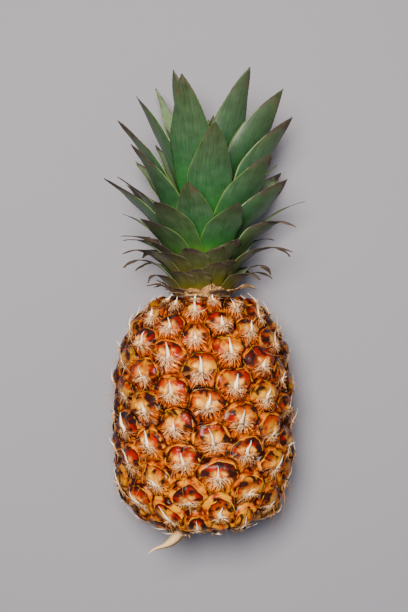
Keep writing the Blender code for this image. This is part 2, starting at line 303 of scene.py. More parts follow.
def node(tree, kind, inputs=None, stops=None, **settings):
    """Adds a shader node.  An input is a value, a hex colour or another node's output;
    stops are a colour ramp's (place, colour) pairs in order.  It gives the outputs."""
    made = tree.nodes.new("ShaderNode" + kind)
    for name, value in settings.items():
        setattr(made, name, value)
    for name, value in (inputs or {}).items():
        if isinstance(value, bpy.types.NodeSocket):
            tree.links.new(value, made.inputs[name])
        else:
            made.inputs[name].default_value = linear(value) if isinstance(value, str) else value
    for i, (place, colour) in enumerate(stops or ()):
        points = made.color_ramp.elements
        point = points[i] if i < 2 else points.new(place)
        point.position = place
        point.color = linear(colour)
    return made.outputs


def new_material(name):
    material = bpy.data.materials.new(name)
    material.use_nodes = True
    material.node_tree.nodes.clear()
    return material, material.node_tree


def waxy_rind():
    """Ripe pineapple rind: a thick natural wax over orange-red skin, which gives small
    soft highlights, with the dry hairy lower half of each eye dull beside it."""
    material, tree = new_material("waxy_ripe_rind")
    here = node(tree, "TexCoord")["Object"]
    eye = node(tree, "Attribute", attribute_name="eye_place")["Vector"]
    lot = node(tree, "Attribute", attribute_name="eye_chance")["Fac"]

    # Unevenness 7 and 2 mm wide keeps the lines of an eye from being drawn by compass.
    for wide, reach in ((7.14 * MM, 0.34), (2.326 * MM, 0.11)):
        wander = node(tree, "TexNoise", {"Vector": here, "Scale": 1 / wide,
                                         "Detail": 1.0})["Color"]
        wander = node(tree, "VectorMath", {0: wander, 1: (0.5, 0.5, 0.5)},
                      operation="SUBTRACT")[0]
        eye = node(tree, "VectorMath", {0: wander, 1: (reach, reach, reach * 0.3), 2: eye},
                   operation="MULTIPLY_ADD")[0]
    x, y, edge = node(tree, "SeparateXYZ", {0: eye})
    flat = node(tree, "VectorMath", {0: eye, 1: (1.0, 1.0, 0.0)}, operation="MULTIPLY")[0]
    away = node(tree, "VectorMath", {0: flat}, operation="LENGTH")["Value"]

    # Patches: how wide they are in millimetres, their detail and their distortion.
    patch = {}
    for name, wide, detail, distortion in (
            ("old", 18.2, 2.0, 0.0), ("blush", 11.1, 3.0, 0.0), ("gold", 8.33, 2.0, 0.6),
            ("mottle", 6.67, 3.0, 0.0), ("spots", 5.88, 3.0, 0.5), ("patchy", 3.85, 2.0, 0.0),
            ("grain", 3.33, 1.0, 0.0)):
        patch[name] = node(tree, "TexNoise", {"Vector": here, "Scale": 1 / (wide * MM),
                                              "Detail": detail, "Distortion": distortion})[0]

    # This mask makes the top brightest and the sides darker, as painted shade where the
    # light falls off round the fruit.  It also gives the sides more withered spots and skirts,
    # partly as real ageing and partly as painted shade.
    high = node(tree, "SeparateXYZ", {0: here})[2]
    lit_and_ripe_top = node(tree, "MapRange", {0: high, 1: AXIS_Z + 8 * MM, 2: AXIS_Z + 46 * MM},
                 interpolation_type="SMOOTHSTEP")[0]

    # The dome runs from a golden middle to amber or red at its rim; one dome is both.
    amber = node(tree, "ValToRGB", {0: away}, stops=(
        (0.0, "#a86810"), (0.26, "#a86400"), (0.50, "#a45800"), (0.70, "#983e00"),
        (0.88, "#782000"), (1.0, "#400a00")))[0]
    red = node(tree, "ValToRGB", {0: away}, stops=(
        (0.0, "#a04404"), (0.26, "#9c3400"), (0.46, "#921e00"), (0.72, "#840c00"),
        (0.90, "#600600"), (1.0, "#380400")))[0]
    gold = node(tree, "MapRange", {0: patch["gold"], 1: 0.49, 2: 0.59})[0]
    amber = node(tree, "Mix", {0: gold, 6: amber, 7: "#a86c00"}, data_type="RGBA")[2]
    blush = node(tree, "Math", {0: lot, 1: 0.30, 2: patch["blush"]}, operation="MULTIPLY_ADD")[0]
    blush = node(tree, "MapRange", {0: blush, 1: 0.58, 2: 0.72})[0]
    dome = node(tree, "Mix", {0: blush, 6: amber, 7: red}, data_type="RGBA")[2]

    # Two pale lobes beside the spine, where the skin over the flesh is thinnest; their
    # pale colour is partly the skin's own and partly a painted highlight.
    aside = node(tree, "Math", {0: x}, operation="ABSOLUTE")[0]
    lobe = node(tree, "CombineXYZ", {0: aside, 1: y, 2: 0.0})[0]
    lobe = node(tree, "VectorMath", {0: lobe, 1: (0.28, 0.16, 0.0)}, operation="DISTANCE")["Value"]
    lobe = node(tree, "MapRange", {0: lobe, 1: 0.36, 2: 0.06}, interpolation_type="SMOOTHSTEP")[0]
    pale = node(tree, "MapRange", {0: patch["patchy"], 1: 0.32, 2: 0.62, 4: 0.72})[0]
    lobe = node(tree, "Math", {0: lobe, 1: pale}, operation="MULTIPLY")[0]
    dome = node(tree, "Mix", {0: lobe, 6: dome, 7: "#f8bc50"}, data_type="RGBA")[2]

    # Withered purple-brown spots, mostly near the dome's rim, and more of them on the sides,
    # partly as painted shade.
    aged = node(tree, "MapRange", {0: lot, 1: 0.76, 2: 0.92, 4: 0.10})[0]
    spots = node(tree, "Math", {0: patch["spots"], 1: aged}, operation="ADD")[0]
    spots = node(tree, "Math", {0: lit_and_ripe_top, 1: -0.07, 2: spots}, operation="MULTIPLY_ADD")[0]
    spots = node(tree, "MapRange", {0: spots, 1: 0.41, 2: 0.53})[0]
    rim = node(tree, "MapRange", {0: away, 1: 0.25, 2: 0.62})[0]
    spots = node(tree, "Math", {0: spots, 1: rim}, operation="MULTIPLY")[0]
    dome = node(tree, "Mix", {0: spots, 6: dome, 7: "#24100e"}, data_type="RGBA")[2]

    # Outside the dome lies orange-brown skin, clear yellow towards the base.
    along = node(tree, "SeparateXYZ", {0: here})[1]
    ripe = node(tree, "MapRange", {0: along, 1: BASE_Y + 80 * MM, 2: BASE_Y + 18 * MM})[0]
    between = node(tree, "ValToRGB", {0: patch["mottle"]}, stops=(
        (0.42, "#200600"), (0.52, "#742400"), (0.64, "#c06000")))[0]
    clear = node(tree, "ValToRGB", {0: patch["mottle"]}, stops=(
        (0.42, "#240600"), (0.47, "#7c2800"), (0.54, "#b45c00"), (0.62, "#c08000")))[0]
    between = node(tree, "Mix", {0: ripe, 6: between, 7: clear}, data_type="RGBA")[2]
    outside = node(tree, "MapRange", {0: away, 1: 0.97, 2: 1.01})[0]
    skin = node(tree, "Mix", {0: outside, 6: dome, 7: between}, data_type="RGBA")[2]

    # The rim is a thin groove darkened with painted shade, and just outside it runs a thin
    # ridge, most golden near the base.  Both break up, one where the other stays.
    golden = node(tree, "MapRange", {0: ripe, 3: 0.45, 4: 1.0})[0]
    for at, half, first, last, strength, colour in (
            (0.975, 0.045, 0.42, 0.60, 1.0, "#220802"),
            (1.045, 0.040, 0.58, 0.46, golden, "#cc9000")):
        line = node(tree, "Math", {0: away, 1: at}, operation="SUBTRACT")[0]
        line = node(tree, "Math", {0: line}, operation="ABSOLUTE")[0]
        line = node(tree, "MapRange", {0: line, 1: half, 2: 0.010})[0]
        some = node(tree, "MapRange", {0: patch["patchy"], 1: first, 2: last})[0]
        line = node(tree, "Math", {0: line, 1: some}, operation="MULTIPLY")[0]
        line = node(tree, "Math", {0: line, 1: strength}, operation="MULTIPLY")[0]
        skin = node(tree, "Mix", {0: line, 6: skin, 7: colour}, data_type="RGBA")[2]

    # The dry lower half: some 45 fibres that fan out from the spine's foot.
    lift = node(tree, "Math", {0: 0.12, 1: y}, operation="SUBTRACT")[0]
    angle = node(tree, "Math", {0: x, 1: lift}, operation="ARCTAN2")[0]
    fan = node(tree, "CombineXYZ", {0: angle, 1: away, 2: lot})[0]
    fan = node(tree, "VectorMath", {0: fan, 1: (9.0, 1.6, 40.0)}, operation="MULTIPLY")[0]
    fibre = node(tree, "TexNoise", {"Vector": fan, "Scale": 1.6, "Detail": 4.0,
                                    "Roughness": 0.65})[0]
    # The darkest stops of these ramps are painted shade in the gaps between the fibres.
    beard = node(tree, "ValToRGB", {0: fibre}, stops=(
        (0.40, "#180604"), (0.46, "#5c2614"), (0.53, "#ac6834"), (0.61, "#e8ba80"),
        (0.70, "#fff2dc")))[0]
    skirt = node(tree, "ValToRGB", {0: fibre}, stops=(
        (0.42, "#1c0401"), (0.48, "#661e00"), (0.55, "#b04c00"), (0.65, "#c87000"),
        (0.78, "#ecac48")))[0]
    yellow = node(tree, "ValToRGB", {0: fibre}, stops=(
        (0.42, "#340c00"), (0.47, "#8c3c00"), (0.54, "#b46400"), (0.64, "#c48000"),
        (0.78, "#f4c45c")))[0]
    skirt = node(tree, "Mix", {0: ripe, 6: skirt, 7: yellow}, data_type="RGBA")[2]
    # Some skirts have withered to purple-brown, more of them on the sides, partly as painted shade.
    withered = node(tree, "ValToRGB", {0: fibre}, stops=(
        (0.42, "#120403"), (0.48, "#34140e"), (0.55, "#643826"), (0.65, "#a4745a"),
        (0.78, "#e8c8a4")))[0]
    old = node(tree, "Math", {0: lit_and_ripe_top, 1: -0.20, 2: patch["old"]}, operation="MULTIPLY_ADD")[0]
    old = node(tree, "MapRange", {0: old, 1: 0.32, 2: 0.46})[0]
    skirt = node(tree, "Mix", {0: old, 6: skirt, 7: withered}, data_type="RGBA")[2]
    down = node(tree, "MapRange", {0: away, 1: 0.42, 2: 0.80})[0]
    beard = node(tree, "Mix", {0: down, 6: beard, 7: skirt}, data_type="RGBA")[2]
    low = node(tree, "MapRange", {0: y, 1: 0.0, 2: -0.25}, interpolation_type="SMOOTHSTEP")[0]
    inside = node(tree, "MapRange", {0: away, 1: 1.25, 2: 0.95})[0]
    low = node(tree, "Math", {0: low, 1: inside}, operation="MULTIPLY")[0]
    skin = node(tree, "Mix", {0: low, 6: skin, 7: beard}, data_type="RGBA")[2]

    # Painted shade: the sides are darker than the top, where the light falls off.
    shade = node(tree, "MapRange", {0: lit_and_ripe_top, 3: 0.60, 4: 1.02})[0]
    skin = node(tree, "VectorMath", {0: skin, 3: shade}, operation="SCALE")[0]

    # Painted shade darkens the crease between two eyes, in patches.
    crease = node(tree, "MapRange", {0: edge, 1: 0.90, 2: 0.99},
                  interpolation_type="SMOOTHSTEP")[0]
    some = node(tree, "MapRange", {0: patch["patchy"], 1: 0.36, 2: 0.62})[0]
    crease = node(tree, "Math", {0: crease, 1: some}, operation="MULTIPLY")[0]
    skin = node(tree, "Mix", {0: crease, 6: skin, 7: "#260a02"}, data_type="RGBA")[2]

    # Pores, dust and hairs break up most of the wax's shine; the dry part has none.
    dull = node(tree, "MapRange", {0: low, 3: 0.26, 4: 0.80})[0]
    gloss = node(tree, "MapRange", {0: low, 3: 0.12, 4: 0.0})[0]
    bumps = node(tree, "Math", {0: fibre, 1: low, 2: patch["grain"]}, operation="MULTIPLY_ADD")[0]
    bump = node(tree, "Bump", {"Height": bumps, "Strength": 0.40, "Distance": 0.5 * MM})[0]
    shader = node(tree, "BsdfPrincipled", {
        "Base Color": skin, "Roughness": dull, "Normal": bump, "IOR": 1.4,
        "Specular IOR Level": gloss})[0]
    node(tree, "OutputMaterial", {0: shader})
    return material


rind = make_rind(waxy_rind())
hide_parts("fruit")
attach(rind, "root")


# ---------------------------------------------------------------- Spines and beards
# Under each flower stood a bract.  Its point has dried to a papery cream spine that
# lies up over the dome, and its lower part has frayed to a beard of straw fibres.

SPINE_ROWS = 9
FIBRES = 42
SHREDS = 9
FIBRE_ROWS = 4


def on_eye(eye_index, x, y, lift):
    """Points over an eye's skin, at a place in its cell and a lift in millimetres."""
    eye = EYES[eye_index]
    fill = eye_fill(eye)
    rise = eye_rise(x, y, fill) * eye_size(eye) * eye_vigour[eye_index]
    rise = rise + (CREASE - rise) * 0.5 * smooth(0.95, 1.2, np.hypot(x, y))
    turn = FIRST_EYE_TURN + EYE_TURN * eye + x * DOME_TURN
    return on_barrel(turn, eye - y * DOME_STEPS, (rise + lift) * MM)


def blades(centre, width, thickness, roll):
    """Closed slender blades with a diamond section.  centre is (blade, row, 3); the
    half width is (blade, row), and each blade is rolled about its own length."""
    along = np.gradient(centre, axis=1)
    along /= np.linalg.norm(along, axis=2, keepdims=True) + 1e-12
    axis = np.array([AXIS_X, 0.0, AXIS_Z])
    outward = (centre - axis) * np.array([1.0, 0.0, 1.0])
    outward /= np.linalg.norm(outward, axis=2, keepdims=True) + 1e-12
    side = np.cross(along, outward)
    side /= np.linalg.norm(side, axis=2, keepdims=True) + 1e-12
    face = np.cross(side, along)
    roll = np.asarray(roll)[:, None, None]
    side, face = (side * np.cos(roll) + face * np.sin(roll),
                  face * np.cos(roll) - side * np.sin(roll))
    wide = side * width[:, :, None]
    thick = face * thickness[:, :, None]
    section = np.stack([centre - wide, centre + thick, centre + wide, centre - thick], axis=2)
    count, rows = centre.shape[:2]
    faces = []
    for blade in range(count):
        first = blade * rows * 4
        last = first + (rows - 1) * 4
        faces.append((first + 3, first + 2, first + 1, first))
        for at in range(first, last, 4):
            for i in range(4):
                j = (i + 1) % 4
                faces.append((at + i, at + j, at + 4 + j, at + 4 + i))
        faces.append((last, last + 1, last + 2, last + 3))
    share = np.broadcast_to(np.linspace(0, 1, rows)[None, :, None], (count, rows, 4))
    return section.reshape(-1, 3), faces, share


def add_blades(name, centre, width, thickness, roll, material):
    """Blades as one object; half widths and half thicknesses are in millimetres."""
    centre = np.asarray(centre)
    centre[..., 2] = np.maximum(centre[..., 2], 0.4 * MM)
    width = np.asarray(width) * MM
    points, faces, share = blades(centre, width, np.asarray(thickness) * MM, roll)
    points[:, 2] = np.maximum(points[:, 2], 0.0)
    made = make_object(name, points, faces, material)
    lots = np.repeat(chance.random(len(centre)), share.shape[1] * 4)
    note(made, "blade_place", "FLOAT_VECTOR",
         np.stack([share.ravel(), lots, np.zeros(len(lots))], axis=-1))
    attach(made, "root")
    return made


def dry_fibre(name, root, body, tip, darkest, rough=0.7, old=0.0):
    """Dried plant fibre: dull cellulose straw.  Blades differ in shade down to the
    darkest, and the share of them that is old is brown."""
    material, tree = new_material(name)
    place = node(tree, "Attribute", attribute_name="blade_place")["Vector"]
    share, lot = node(tree, "SeparateXYZ", {0: place})[:2]
    here = node(tree, "TexCoord")["Object"]
    colour = node(tree, "ValToRGB", {0: share}, stops=(
        (0.0, root), (0.35, body), (0.75, body), (1.0, tip)))[0]
    shade = node(tree, "TexNoise", {"Vector": here, "Scale": 1 / (1.43 * MM), "Detail": 2.0})[0]
    shade = node(tree, "Math", {0: shade, 1: lot}, operation="ADD")[0]
    shade = node(tree, "MapRange", {0: shade, 1: 0.4, 2: 1.4, 3: darkest, 4: 1.10})[0]
    colour = node(tree, "VectorMath", {0: colour, 3: shade}, operation="SCALE")[0]
    dead = node(tree, "MapRange", {0: lot, 1: old, 2: old - 0.08})[0]
    colour = node(tree, "Mix", {0: dead, 6: colour, 7: "#40261a"}, data_type="RGBA")[2]
    shader = node(tree, "BsdfPrincipled", {
        "Base Color": colour, "Roughness": rough, "IOR": 1.5})[0]
    node(tree, "OutputMaterial", {0: shader})
    return material


def make_spines():
    """One spine on every eye; about a quarter of them have broken off short."""
    centre, width, thickness = [], [], []
    share = np.linspace(0, 1, SPINE_ROWS)
    for i in range(len(EYES)):
        size = float(eye_size(EYES[i]))
        length = chance.uniform(0.70, 1.05) * (0.50 if chance.random() < 0.28 else 1.0)
        lean = chance.normal(0.0, 0.14)
        bend = chance.normal(0.0, 0.03)
        x = chance.normal(0, 0.05) + lean * share * length + bend * np.sin(math.pi * share)
        y = -0.20 + share * length * 1.05
        lift = 0.4 + 0.6 * share + chance.uniform(0.0, 3.4) * share ** 2
        centre.append(on_eye(i, x, y, lift))
        broad = chance.uniform(1.7, 2.6) * size
        torn = 1 + 0.16 * np.sin(share * chance.uniform(8, 16) + chance.uniform(0, 6))
        width.append(broad * (1 - share) ** 1.05 * torn + 0.03)
        thickness.append(0.12 * (1 - share) + 0.03)
    rolls = chance.normal(0, 0.22, len(centre))
    spine = dry_fibre("papery_bract", "#dca878", "#fbe8cc", "#fff4e2", 0.60, 0.5)
    add_blades("bract_spines", centre, width, thickness, rolls, spine)


def make_beards(name, first, last, straw):
    """Fibres that fan down from the spine's foot, and a few wider papery shreds."""
    share = np.linspace(0, 1, FIBRE_ROWS)
    centre, width, thickness = [], [], []
    for i in range(first, last):
        size = float(eye_size(EYES[i]))
        for j in range(FIBRES + SHREDS):
            shred = j >= FIBRES
            angle = np.clip(chance.normal(0.0, 0.85 if not shred else 1.2), -2.2, 2.2)
            start = chance.uniform(0.0, 0.15 if shred else 0.35)
            length = chance.uniform(0.15, 0.38) if shred else 0.12 + chance.gamma(1.6, 0.16)
            bearing = angle + chance.normal(0, 0.45) * share
            reach = start + length * share
            x = np.sin(bearing) * reach + chance.normal(0, 0.07)
            y = -0.10 - np.cos(bearing) * reach * 0.85 + chance.normal(0, 0.04)
            lift = 0.1 + chance.uniform(0.1, 2.4) * share ** 1.4
            centre.append(on_eye(i, x, y, lift))
            half = (0.60 if shred else 0.12) * chance.uniform(0.6, 1.4) * size
            width.append(half * (1.02 - share ** (1.2 if shred else 2)))
            thickness.append(np.full(FIBRE_ROWS, 0.06))
    rolls = chance.normal(0, 0.7, len(centre))
    add_blades(name, centre, width, thickness, rolls, straw)


make_spines()
third = len(EYES) // 3
beard_straw = dry_fibre("beard_straw", "#fff2e0", "#ecbc80", "#a85808", 0.40, old=0.36)
make_beards("beard_by_crown", 0, third, beard_straw)
make_beards("beard_in_middle", third, 2 * third, beard_straw)
make_beards("beard_by_base", 2 * third, len(EYES), beard_straw)


# ---------------------------------------------------------------- The crown's leaves
# Fifty-five stiff, tough leaves on a golden-angle spiral up a short stem.  Each clasps
# the stem with its foot and wraps round the crown's axis, inside the leaf below.  The
# lowest are old, olive and torn, with dry curled tips.

LEAF_COUNT = 55
FRONT_LEAF = 24
GOLDEN_TURN = 137.5
STEM_FOOT_RADIUS = 18 * MM
STEM_TIP_RADIUS = 3 * MM
STEM_LENGTH = 58 * MM
LEAF_CLEARANCE = 0.9 * MM
WIDEST_SHARE = 0.57
LEAF_ROWS = 60
LEAF_COLUMNS = 12
LENGTH_BY_LEAF = ((0, 26), (8, 42), (16, 50), (24, 62), (32, 84), (40, 102), (46, 108),
                  (50, 104), (54, 70))
WIDTH_BY_LEAF = ((0, 15), (8, 20), (16, 24), (24, 26), (32, 29), (42, 29), (50, 24), (54, 14))
FOOT_LEAN_BY_LEAF = ((0, 30), (10, 33), (20, 36), (24, 35), (36, 24), (48, 12), (54, 7))
TIP_LEAN_BY_LEAF = ((0, 125), (8, 112), (16, 74), (24, 54), (36, 40), (48, 30), (54, 15))

# The lowest leaves are old.  Those in front have lost their tips, the others withered, and
# the very lowest at the sides grew long.  The half turns from the top are in degrees.
TORN_BELOW = 15
WITHERED_BELOW = 16
LONG_BELOW = 12
FRONT_HALF_TURN = 48
SIDE_HALF_TURN = 125

# Leaves that depart from the rule: (extra turn in degrees, share of length), by their
# place above (+) or below (-) the front leaf.
LEAF_DEPARTURES = {
    -18: (-12, 1.00), -16: (0, 1.25), -13: (8, 1.00), -10: (0, 1.30), -8: (-7, 1.28),
    -7: (-15, 1.36), -5: (-9, 0.97), -3: (-16, 1.27), -2: (-28, 1.16), -1: (14, 1.15),
    0: (-10, 0.93), 1: (-12, 1.18), 2: (0, 0.96), 3: (-10, 1.07), 5: (-15, 1.03),
    6: (0, 0.84), 7: (0, 0.85), 8: (-12, 1.00), 10: (0, 0.99), 11: (6, 0.99),
    12: (0, 0.86), 13: (0, 1.12), 14: (6, 0.80), 15: (-20, 0.64), 16: (28, 0.97),
    17: (0, 0.80), 18: (-25, 0.86), 19: (10, 0.62), 20: (-6, 0.95), 21: (32, 0.94),
    22: (0, 0.76), 23: (-20, 0.58), 24: (0, 0.52), 25: (0, 0.78), 26: (-16, 0.88),
    27: (0, 0.78), 28: (0, 0.80), 29: (0, 0.76), 30: (0, 0.86),
}

# The share of the length at which drying starts, for the leaves that differ from their
# neighbours, again by place from the front leaf.
DRY_FROM = {
    -18: 0.78, -16: 0.80, -13: 0.82, -11: 0.20, -10: 0.58, -8: 0.86, -5: 0.86, -3: 0.70,
    -2: 0.74, -1: 0.60, 0: 0.84, 1: 0.80, 2: 0.62, 3: 0.86, 5: 0.74, 10: 0.72, 11: 0.78,
    16: 0.86,
}

# Again by place: leaves twisted about their own length, in degrees; where an old leaf
# starts to shrivel, as a share of its length; and the width of leaves narrower than the
# rule, as a share of it.
LEAF_TWISTS = {21: 8, 16: 38, 11: 34, 3: 15, 1: -30, -2: 22, 5: 18}
SHRIVELLED_FROM = {-10: 0.66, -11: 0.72}
LEAF_WIDTHS = {20: 0.60, 18: 0.78, 15: 0.70, 10: 0.72, 5: 0.84, 0: 0.92, -7: 0.70, -3: 0.80}

# The depths under the axis where leaves begin to bend up, and where the table stops them.
FREE_DEPTH = 30 * MM
TABLE_DEPTH = AXIS_Z - 0.8 * MM
chance = np.random.default_rng(23)


def by_leaf(points, number):
    """A value that changes with a leaf's number, read between the given points."""
    return float(np.interp(number, [p[0] for p in points], [p[1] for p in points]))


def crown_point(turn, radius, height):
    """A point of the crown.  Leaves that would reach the table bend flat above it."""
    depth = -radius * np.cos(turn)
    room = TABLE_DEPTH - FREE_DEPTH
    deep = FREE_DEPTH + room * np.tanh((depth - FREE_DEPTH) / room)
    depth = np.where(depth > FREE_DEPTH, deep, depth)
    return np.stack([AXIS_X + radius * np.sin(turn), CROWN_Y + height, AXIS_Z - depth], -1)


def leaf_width(share, width, foot):
    """Half the width along a leaf: a clasping foot, then a long point."""
    swell = np.sin(np.minimum(share / WIDEST_SHARE, 1) * math.pi / 2) ** 1.2
    beyond = np.clip((share - WIDEST_SHARE) / (1 - WIDEST_SHARE), 0, 1)
    taper = (1 - beyond ** 1.8) * (1 - 0.12 * np.sin(math.pi * beyond))
    wide = foot + (width / 2 - foot) * swell
    return np.where(share < WIDEST_SHARE, wide, width / 2 * taper)


def leaf_shell(outer, thick, dryness, age, lot, half):
    """A closed leaf from the grid of its outer side, (row, column, 3).  With its points and
    faces come three vectors a point: its place across and along the leaf and the leaf's
    lot, the same place in millimetres and its side, and its dryness, age and side."""
    along = np.gradient(outer, axis=0)
    sideways = np.gradient(outer, axis=1)
    normal = np.cross(sideways, along)
    normal /= np.linalg.norm(normal, axis=2, keepdims=True) + 1e-12
    inner = outer - normal * thick[:, :, None]
    inner[..., 2] = np.maximum(inner[..., 2], 0.1 * MM)
    outer = outer.copy()
    outer[..., 2] = np.maximum(outer[..., 2], 0.05 * MM)
    rows, columns = outer.shape[:2]
    points = np.concatenate([outer.reshape(-1, 3), inner.reshape(-1, 3)])
    under = rows * columns
    faces = []
    for row in range(rows - 1):
        for column in range(columns - 1):
            at = row * columns + column
            above = at + columns
            faces.append((at, at + 1, above + 1, above))
            faces.append((under + at, under + above, under + above + 1, under + at + 1))
        for column in (0, columns - 1):
            at = row * columns + column
            side = (at, at + columns, under + at + columns, under + at)
            faces.append(side if column == 0 else side[::-1])
    for row in (0, rows - 1):
        for column in range(columns - 1):
            at = row * columns + column
            end = (at, under + at, under + at + 1, at + 1)
            faces.append(end if row == 0 else end[::-1])

    both = (2, rows, columns)
    across = np.broadcast_to(np.linspace(-1, 1, columns), both)
    share = np.broadcast_to(np.linspace(0, 1, rows)[:, None], both)
    side = np.broadcast_to(np.array([0.0, 1.0])[:, None, None], both)
    step = np.linalg.norm(np.diff(outer[:, columns // 2], axis=0), axis=1)
    run = np.broadcast_to(np.concatenate([[0], np.cumsum(step)])[:, None], both)
    place = np.stack([across, share, np.full(both, lot)], -1)
    span = np.stack([across * half[:, None] / MM, run / MM, side], -1)
    state = np.stack([np.broadcast_to(dryness, both), np.full(both, age), side], -1)
    return points, faces, place, span, state


def add_leaf(name, grid, thick, dryness, age, half, material):
    points, faces, place, span, state = leaf_shell(
        grid, thick, dryness, age, chance.random(), half)
    made = make_object(name, points, faces, material)
    note(made, "leaf_place", "FLOAT_VECTOR", place)
    note(made, "leaf_span", "FLOAT_VECTOR", span)
    note(made, "leaf_state", "FLOAT_VECTOR", state)
    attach(made, "root")
    return made


def make_leaf(name, number, material, aside=0):
    """A leaf by its number in the spiral; aside is a further turn in degrees."""
    place = number - FRONT_LEAF
    extra_turn, share_of_length = LEAF_DEPARTURES.get(place, (0, 1.0))
    turn = GOLDEN_TURN * math.floor(place) + extra_turn + aside
    turn = math.radians((turn + 180) % 360 - 180)
    front = abs(turn) < math.radians(FRONT_HALF_TURN)
    torn = number < TORN_BELOW and front
    if torn:
        share_of_length = share_of_length * 0.60
    if number < LONG_BELOW and abs(turn) < math.radians(SIDE_HALF_TURN) and not front:
        share_of_length = share_of_length * 1.16
    curve = min(share_of_length, 1.0)
    length = by_leaf(LENGTH_BY_LEAF, number) * share_of_length * MM
    width = by_leaf(WIDTH_BY_LEAF, number) * LEAF_WIDTHS.get(place, 1.0) * MM
    foot_lean = by_leaf(FOOT_LEAN_BY_LEAF, number)
    tip_lean = by_leaf(TIP_LEAN_BY_LEAF, number)
    foot_height = (1.5 + number) * MM
    stem = STEM_FOOT_RADIUS + (STEM_TIP_RADIUS - STEM_FOOT_RADIUS) * foot_height / STEM_LENGTH
    foot_radius = stem + LEAF_CLEARANCE
    foot = min(width * 0.42, foot_radius * math.radians(50))
    old = 1 - smooth(7, 21, number)
    dry_from = DRY_FROM.get(place, 0.88 - (0.22 if torn else 0.45) * float(old))
    withered = number < WITHERED_BELOW and not front

    # The lean is summed up in steps eight times as fine as the rows.
    fine = 8
    share = (np.arange(LEAF_ROWS * fine) + 0.5) / (LEAF_ROWS * fine)
    lean = foot_lean + (tip_lean - foot_lean) * (share * curve) ** 1.4
    # Dry tips curl on out and down; live ones waver a little.
    curl = chance.uniform(-10, 50) if withered else chance.uniform(-3, 6)
    lean = np.radians(lean + curl * smooth(0.62, 1.0, share))
    step = length / (LEAF_ROWS * fine)
    radius = foot_radius + np.concatenate([[0], np.cumsum(np.sin(lean)) * step])[::fine]
    height = foot_height + np.concatenate([[0], np.cumsum(np.cos(lean)) * step])[::fine]

    share = np.linspace(0, 1, LEAF_ROWS + 1)
    half = leaf_width(share * (0.96 if torn else 1.0), width, foot)
    if withered:
        narrow = SHRIVELLED_FROM.get(place, chance.uniform(0.42, 0.60))
        half = half * (1 - 0.30 * smooth(narrow, narrow + 0.18, share))
        half = half * (1 + 0.22 * np.sin(share * chance.uniform(30, 50)) * smooth(0.6, 0.8, share))
    half = np.maximum(half, (0.75 if withered else 0.22) * MM)
    columns = np.linspace(-1, 1, LEAF_COLUMNS + 1)
    across = np.sign(columns) * (1 - (1 - np.abs(columns)) ** 1.25)
    grid_across = np.broadcast_to(across, (LEAF_ROWS + 1, LEAF_COLUMNS + 1))
    near_tip = smooth(0.25, 1.0, share)[:, None]

    twist = chance.normal(0, 0.06) + (chance.normal(0, 1.1) if withered else 0.0)
    twist = twist * near_tip ** 1.5
    twist = twist + math.radians(LEAF_TWISTS.get(place, 0)) * smooth(0.3, 0.75, share)[:, None]
    sweep = chance.normal(0, 0.6) * MM * near_tip ** 2
    if withered:
        sweep = sweep + chance.normal(0, 4.5) * MM * smooth(0.50, 1.0, share)[:, None] ** 1.5
        crook = np.sin(share[:, None] * chance.uniform(14, 26) + chance.uniform(0, 6))
        sweep = sweep + 1.3 * MM * crook * smooth(0.55, 0.8, share)[:, None]
    wave = chance.uniform(0.25, 0.6) * MM * np.sin(
        share[:, None] * chance.uniform(14, 24) + columns * 1.2 + chance.uniform(0, 6))
    wave = wave * np.abs(grid_across) ** 3 * smooth(0.1, 0.5, share)[:, None]
    channel = (0.16 + (0.5 if withered else 0.0) * near_tip) * near_tip * half[:, None]
    edge_teeth = np.where(np.arange(LEAF_ROWS + 1) % 2 == 0, 0.16 * MM, 0.0)[:, None]
    edge_teeth = edge_teeth * (np.abs(grid_across) > 0.999) * smooth(0.25, 0.5, share)[:, None]
    offset = grid_across * (half[:, None] + edge_teeth)
    reach = radius[:, None] + wave + offset * np.sin(twist) - channel * grid_across ** 2
    turns = turn + (offset * np.cos(twist) + sweep) / radius[:, None]
    heights = np.broadcast_to(height[:, None], reach.shape).copy()
    if torn:
        ragged = chance.uniform(0.0, 1.0, LEAF_COLUMNS + 1)
        ragged = ragged * 0.07 + 0.03 * np.sin(columns * 5 + chance.uniform(0, 6))
        back = ragged * length * smooth(0.70, 1.0, share)[:, None]
        heights = heights - back * np.cos(lean[-1])
        reach = reach - back * np.sin(lean[-1])

    grid = crown_point(turns, reach, heights)
    body = 0.75 - 0.5 * np.abs(grid_across) ** 2
    thick = np.maximum(body * (1 - 0.55 * near_tip), 0.14) * MM
    patches = 0.10 * ripple(grid, 14 * MM, number) + 0.05 * ripple(grid, 5 * MM, number)
    reached = share[:, None] + 0.16 * np.abs(grid_across) ** 2 * near_tip + patches
    dryness = smooth(dry_from, dry_from + 0.34, reached) * (1.0 if number < 20 else 0.9)
    return add_leaf(name, grid, thick, dryness, float(old), half, material)


